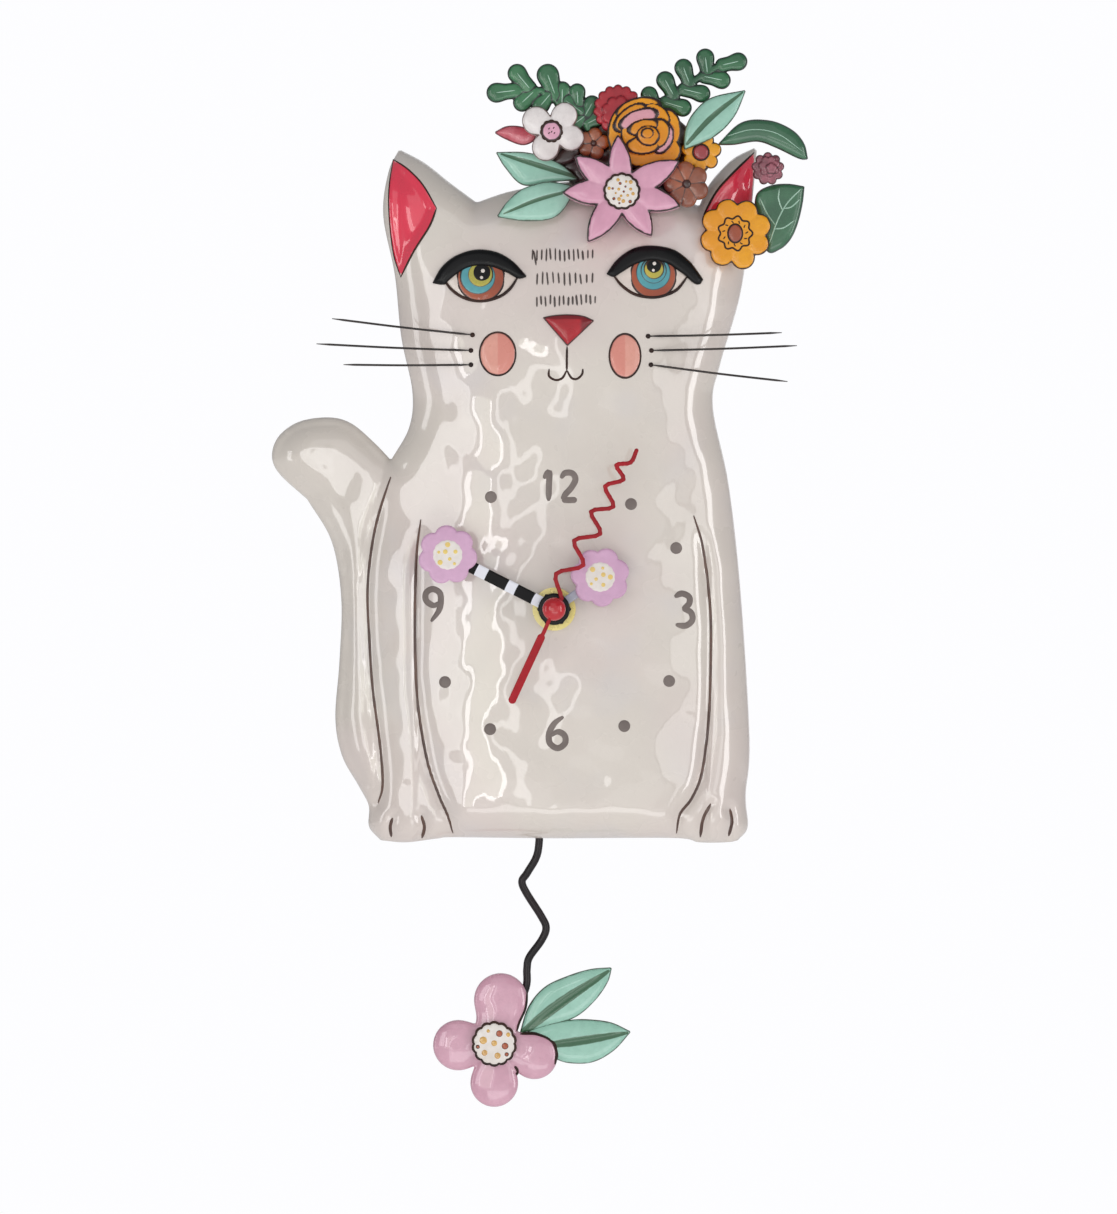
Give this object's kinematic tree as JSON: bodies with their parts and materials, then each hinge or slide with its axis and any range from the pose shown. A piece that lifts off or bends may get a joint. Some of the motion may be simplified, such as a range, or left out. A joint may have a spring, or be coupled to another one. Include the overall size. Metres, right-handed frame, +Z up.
{
  "type": "pendulum wall clock",
  "caption": "Glazed cat-shaped wall clock with a flower crown, flower hands on a numbered dial, a quartz pendulum movement and a flower bob.",
  "frame": {"origin": "centre of the nail hole of the wall hanger, on the wall plane at the back of the clock", "axes": "+Z up, +Y into the wall, -Y the way the dial faces, +X to the reader's right"},
  "size_m": [0.2077, 0.0555, 0.4089],
  "materials": {
    "pearl_glaze": "cream pearl glaze, clear coated",
    "rose_glaze": "dusty pink glaze",
    "mint_glaze": "mint green glaze with dark ribs",
    "leaf_green_glaze": "dark green glaze",
    "yellow_glaze": "warm yellow glaze",
    "brown_glaze": "red-brown glaze",
    "red_glaze": "crimson glaze",
    "white_glaze": "white glaze with painted dots",
    "hand_pink": "pink enamel",
    "black_enamel": "black enamel",
    "grey_enamel": "grey-white enamel",
    "red_enamel": "red enamel",
    "brass": "turned brass",
    "steel": "bright steel",
    "black_wire": "black coated steel wire",
    "case_plastic": "black moulded plastic",
    "gear_plastic": "ivory moulded acetal",
    "copper_wire": "enamelled copper winding",
    "board": "green circuit board",
    "battery_sleeve": "plain dark sleeve with a bright end"
  },
  "bodies": {
    "clock_body": {"body_shell": "pearl_glaze", "hanger_plate": "steel", "hanger_screws": "steel", "crown_base": "leaf_green_glaze", "fern_sprig_left": "leaf_green_glaze", "fern_sprig_right": "leaf_green_glaze", "red_bud": "red_glaze", "mint_leaf_upper": "mint_glaze", "mint_leaf_lower": "mint_glaze", "mint_leaf_right": "mint_glaze", "curved_dark_leaf": "leaf_green_glaze", "maroon_bud": "red_glaze", "veined_leaf": "leaf_green_glaze", "white_flower": "white_glaze", "brown_flower_left": "brown_glaze", "brown_flower_right": "brown_glaze", "small_yellow_flower": "yellow_glaze", "red_carnation": "red_glaze", "rose": "yellow_glaze", "star_flower": "rose_glaze", "yellow_flower": "yellow_glaze", "whiskers_left": "black_wire", "whiskers_right": "black_wire", "movement_case_front": "case_plastic", "movement_case_back": "case_plastic", "threaded_bushing": "brass", "brass_washer": "brass", "dial_nut": "brass", "stator": "steel", "drive_coil": "copper_wire", "circuit_board": "board", "quartz_crystal": "steel", "battery_contact_negative": "steel", "battery_contact_positive": "steel", "pendulum_pivot_pin": "steel", "pendulum_coil": "copper_wire"},
    "hour_hand_body": {"hour_wheel": "gear_plastic", "hour_hand": "grey_enamel", "hour_hand_flower": "hand_pink"},
    "minute_hand_body": {"centre_wheel": "gear_plastic", "minute_hand": "black_enamel", "minute_hand_flower": "hand_pink"},
    "second_hand_body": {"second_wheel": "gear_plastic", "second_hand": "red_enamel", "second_hand_cap": "red_enamel"},
    "third_wheel_body": {"third_wheel": "gear_plastic"},
    "fifth_wheel_body": {"fifth_wheel": "gear_plastic"},
    "rotor_body": {"rotor": "gear_plastic"},
    "minute_wheel_body": {"minute_wheel": "gear_plastic"},
    "setting_knob_body": {"setting_knob": "gear_plastic"},
    "pendulum_body": {"pendulum_hanger": "gear_plastic", "pendulum_magnet": "steel", "pendulum_rod": "black_wire", "bob_flower": "rose_glaze", "bob_flower_centre": "white_glaze", "bob_leaf_upper": "mint_glaze", "bob_leaf_lower": "mint_glaze"},
    "battery_body": {"battery": "battery_sleeve"}
  },
  "joints": [
    {"name": "minute_hand_turn", "type": "hinge", "parent": "clock_body", "child": "minute_hand_body", "pos_m": [0, -0.02, -0.135], "axis": [0, 1, 0], "continuous": true},
    {"name": "hour_hand_turn", "type": "hinge", "parent": "clock_body", "child": "hour_hand_body", "pos_m": [0, -0.02, -0.135], "axis": [0, 1, 0], "continuous": true},
    {"name": "second_hand_turn", "type": "hinge", "parent": "clock_body", "child": "second_hand_body", "pos_m": [0, -0.02, -0.135], "axis": [0, 1, 0], "continuous": true},
    {"name": "third_wheel_turn", "type": "hinge", "parent": "clock_body", "child": "third_wheel_body", "pos_m": [-0.0106, -0.02, -0.12888], "axis": [0, 1, 0], "continuous": true},
    {"name": "fifth_wheel_turn", "type": "hinge", "parent": "clock_body", "child": "fifth_wheel_body", "pos_m": [0.01031, -0.02, -0.12905], "axis": [0, 1, 0], "continuous": true},
    {"name": "rotor_turn", "type": "hinge", "parent": "clock_body", "child": "rotor_body", "pos_m": [0.01406, -0.02, -0.12255], "axis": [0, 1, 0], "continuous": true},
    {"name": "minute_wheel_turn", "type": "hinge", "parent": "clock_body", "child": "minute_wheel_body", "pos_m": [0, -0.02, -0.126], "axis": [0, 1, 0], "continuous": true},
    {"name": "setting_knob_turn", "type": "hinge", "parent": "clock_body", "child": "setting_knob_body", "pos_m": [0, -0.02, -0.117], "axis": [0, 1, 0], "continuous": true},
    {"name": "pendulum_swing", "type": "hinge", "parent": "clock_body", "child": "pendulum_body", "pos_m": [-0.0132, -0.02, -0.168], "axis": [0, 1, 0], "range_deg": [-7, 7]},
    {"name": "battery_pull", "type": "slide", "parent": "clock_body", "child": "battery_body", "axis": [0, 1, 0], "range_m": [0, 0.02]}
  ],
  "couplings": [
    {"joint": "hour_hand_turn", "follows": "minute_hand_turn", "ratio": 0.083333},
    {"joint": "second_hand_turn", "follows": "minute_hand_turn", "ratio": 60},
    {"joint": "third_wheel_turn", "follows": "minute_hand_turn", "ratio": -8},
    {"joint": "fifth_wheel_turn", "follows": "minute_hand_turn", "ratio": -360},
    {"joint": "rotor_turn", "follows": "minute_hand_turn", "ratio": 1800},
    {"joint": "minute_wheel_turn", "follows": "minute_hand_turn", "ratio": -0.33333},
    {"joint": "setting_knob_turn", "follows": "minute_hand_turn", "ratio": 1}
  ]
}
